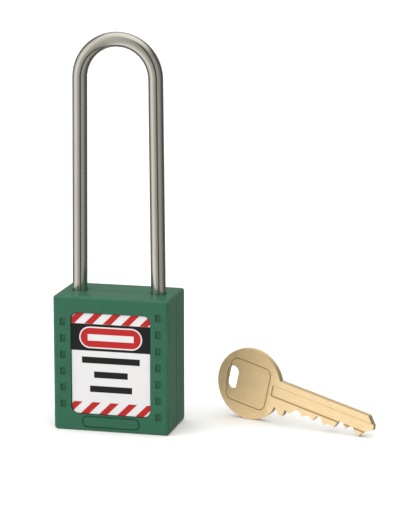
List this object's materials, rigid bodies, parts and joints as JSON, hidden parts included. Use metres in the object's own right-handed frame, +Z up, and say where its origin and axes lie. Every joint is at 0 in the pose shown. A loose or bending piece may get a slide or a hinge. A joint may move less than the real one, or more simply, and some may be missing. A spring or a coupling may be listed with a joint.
{
  "type": "safety padlock",
  "caption": "Long-shackle safety padlock with a green moulded body, blank hazard-striped label, pin-tumbler cylinder and loose key.",
  "frame": {"origin": "centre of the case's flat top face, midway between the shackle's legs", "axes": "+Z up along the shackle, away from the body; -Y is the label side; +X is the toe (short leg) side"},
  "size_m": [0.1024, 0.0316, 0.1275],
  "materials": {
    "green_nylon": "moulded green nylon, fine satin texture",
    "label_film": "printed laminated film with plain colour bands",
    "satin_steel": "satin hardened steel rod",
    "plated_steel": "plated steel",
    "ball_steel": "polished steel ball",
    "spring_steel": "bright spring steel",
    "zinc_casting": "die-cast zinc, as cast",
    "plain_brass": "turned brass",
    "key_brass": "satin brass, milled and coined"
  },
  "bodies": {
    "case": {"case_shell": "green_nylon", "base_cover": "green_nylon", "front_label": "label_film", "rear_label": "label_film", "cover_screw_1": "plated_steel", "cover_screw_2": "plated_steel", "locking_block": "zinc_casting", "cylinder_housing": "zinc_casting", "pin_chamber_cover": "plain_brass", "shackle_spring": "spring_steel", "driver_pin_1": "plain_brass", "driver_pin_2": "plain_brass", "driver_pin_3": "plain_brass", "driver_pin_4": "plain_brass", "driver_pin_5": "plain_brass", "driver_pin_6": "plain_brass", "pin_spring_1": "spring_steel", "pin_spring_2": "spring_steel", "pin_spring_3": "spring_steel", "pin_spring_4": "spring_steel", "pin_spring_5": "spring_steel", "pin_spring_6": "spring_steel"},
    "plug": {"plug": "plain_brass", "plug_circlip": "spring_steel", "cam": "plated_steel", "key_pin_1": "plain_brass", "key_pin_2": "plain_brass", "key_pin_3": "plain_brass", "key_pin_4": "plain_brass", "key_pin_5": "plain_brass", "key_pin_6": "plain_brass"},
    "shackle": {"shackle": "satin_steel", "shackle_retaining_clip": "spring_steel"},
    "ball_left": {"ball_left": "ball_steel"},
    "ball_right": {"ball_right": "ball_steel"},
    "key": {"key": "key_brass"}
  },
  "joints": [
    {"name": "plug_turn", "type": "hinge", "parent": "case", "child": "plug", "pos_m": [0, 0, -0.03], "axis": [0, 0, 1], "range_deg": [0, 90]},
    {"name": "shackle_lift", "type": "slide", "parent": "case", "child": "shackle", "axis": [0, 0, 1], "range_m": [0, 0.013], "deforming": ["shackle_spring"]},
    {"name": "ball_left_slide", "type": "slide", "parent": "case", "child": "ball_left", "axis": [1, 0, 0], "range_m": [0, 0.0036]},
    {"name": "ball_right_slide", "type": "slide", "parent": "case", "child": "ball_right", "axis": [-1, 0, 0], "range_m": [0, 0.0036]},
    {"name": "key_lift", "type": "slide", "parent": "case", "child": "key", "axis": [0, 0, 1], "range_m": [0, 0.05]}
  ],
  "couplings": [
    {"joint": "plug_turn", "follows": "shackle_lift", "rad_per_m": 120.82},
    {"joint": "ball_left_slide", "follows": "shackle_lift", "ratio": 0.2769},
    {"joint": "ball_right_slide", "follows": "shackle_lift", "ratio": 0.2769}
  ]
}
